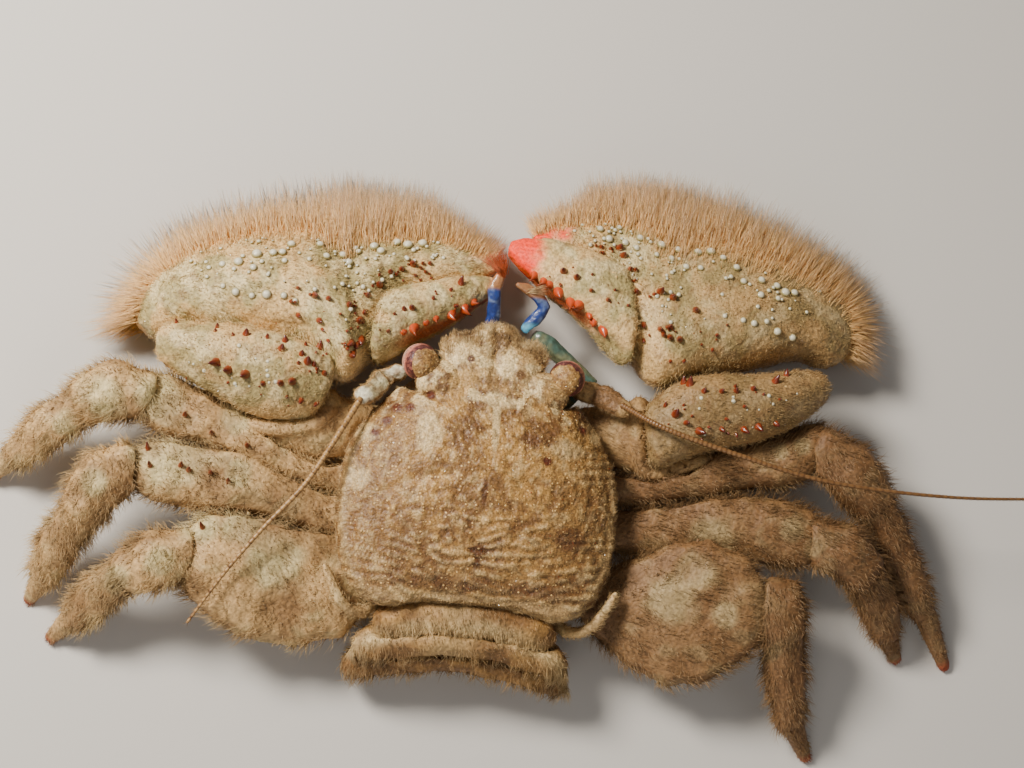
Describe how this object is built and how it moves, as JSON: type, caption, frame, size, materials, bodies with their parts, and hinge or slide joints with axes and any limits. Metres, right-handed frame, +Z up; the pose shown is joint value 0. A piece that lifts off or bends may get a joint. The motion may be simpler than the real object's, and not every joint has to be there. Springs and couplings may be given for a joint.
{
  "type": "porcelain crab",
  "caption": "Life-size museum model of a hairy porcelain crab at rest, both broad fringed claws folded across its face.",
  "frame": {"origin": "middle of the bounding box, at the floor that its feet and claws rest on", "axes": "+X towards the crab's left side, -Y towards its head, +Z up"},
  "size_m": [0.0622, 0.034, 0.008],
  "materials": {
    "shell": "fine granular shell with short felt, matt",
    "claw_shell": "granular shell with pearly and red-brown tubercles and a felt fringe, matt",
    "leg_shell": "shell under dense beige felt, matt",
    "underside": "smooth pale underside plates, satin",
    "eye": "wet dark eye, glossy",
    "mouth": "blue mouth limb plates, satin",
    "feeler": "banded feeler, satin"
  },
  "bodies": {
    "root": {"abdomen_1": "underside", "abdomen_2": "underside", "abdomen_3": "underside", "abdomen_4": "underside", "abdomen_5": "underside", "abdomen_6": "underside", "arm_left": "claw_shell", "arm_right": "claw_shell", "carapace": "shell", "eye_left": "eye", "eye_right": "eye", "face": "underside", "feeler_base_left": "feeler", "feeler_base_right": "feeler", "feeler_left": "feeler", "feeler_right": "feeler", "finger_left": "claw_shell", "finger_right": "claw_shell", "foot_left_1": "leg_shell", "foot_left_2": "leg_shell", "foot_left_3": "leg_shell", "foot_right_1": "leg_shell", "foot_right_2": "leg_shell", "foot_right_3": "leg_shell", "inner_feeler_left": "feeler", "inner_feeler_right": "feeler", "knee_left_1": "leg_shell", "knee_left_2": "leg_shell", "knee_left_3": "leg_shell", "knee_right_1": "leg_shell", "knee_right_2": "leg_shell", "knee_right_3": "leg_shell", "mouth_palp_left": "mouth", "mouth_palp_right": "mouth", "mouth_plate_left": "mouth", "mouth_plate_right": "mouth", "palm_left": "claw_shell", "palm_right": "claw_shell", "shin_left_1": "leg_shell", "shin_left_2": "leg_shell", "shin_left_3": "leg_shell", "shin_right_1": "leg_shell", "shin_right_2": "leg_shell", "shin_right_3": "leg_shell", "small_leg_left": "leg_shell", "small_leg_right": "leg_shell", "tail_fan": "underside", "thigh_left_1": "leg_shell", "thigh_left_2": "leg_shell", "thigh_left_3": "leg_shell", "thigh_right_1": "leg_shell", "thigh_right_2": "leg_shell", "thigh_right_3": "leg_shell", "thorax": "underside", "wrist_left": "claw_shell", "wrist_right": "claw_shell"}
  },
  "joints": []
}
